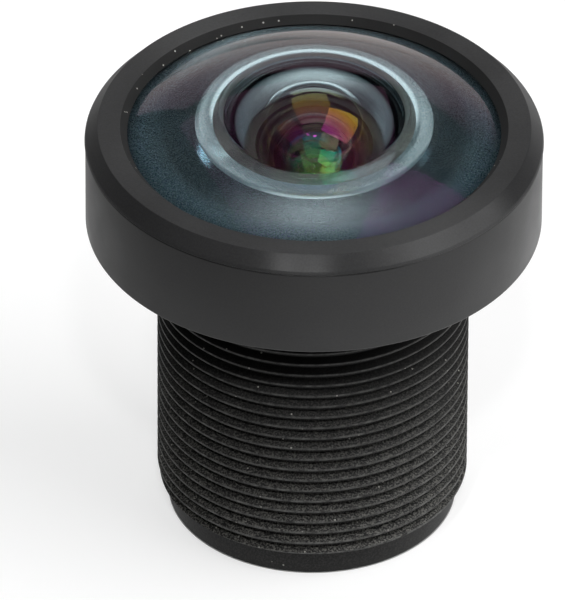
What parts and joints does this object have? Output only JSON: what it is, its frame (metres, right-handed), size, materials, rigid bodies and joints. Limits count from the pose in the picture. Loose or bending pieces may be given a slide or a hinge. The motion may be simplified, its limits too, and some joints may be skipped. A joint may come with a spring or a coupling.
{
  "type": "m12 board camera lens",
  "caption": "Fixed wide-angle board camera lens: domed front glass in a round head on a threaded barrel that screws into a lens holder.",
  "frame": {"origin": "centre of the rear end face, on the optical axis", "axes": "+Z along the optical axis, from the rear end towards the front element; X and Y are any two directions across it"},
  "size_m": [0.0176, 0.0176, 0.0191],
  "materials": {
    "barrel_finish": "turned and black anodised, satin",
    "front_ring_finish": "turned and black anodised, satin",
    "inner_ring_finish": "turned, matte black anodised",
    "baffle_film": "matte black polyester film",
    "seal_rubber": "black silicone rubber",
    "front_glass": "polished, multi-coated, ground and blackened flange",
    "inner_glass": "polished and multi-coated",
    "filter_glass": "polished, infrared cut coating"
  },
  "bodies": {
    "root": {"lens_barrel": "barrel_finish", "front_retaining_ring": "front_ring_finish", "front_seal_ring": "seal_rubber", "front_element": "front_glass", "front_baffle": "baffle_film", "second_retaining_ring": "inner_ring_finish", "second_element": "inner_glass", "second_spacer": "inner_ring_finish", "third_element": "inner_glass", "third_spacer": "inner_ring_finish", "fourth_element": "inner_glass", "aperture_stop": "inner_ring_finish", "stop_spacer": "inner_ring_finish", "doublet_crown_element": "inner_glass", "doublet_flint_element": "inner_glass", "rear_baffle": "baffle_film", "rear_spacer": "inner_ring_finish", "rear_element": "inner_glass", "infrared_filter": "filter_glass"}
  },
  "joints": []
}
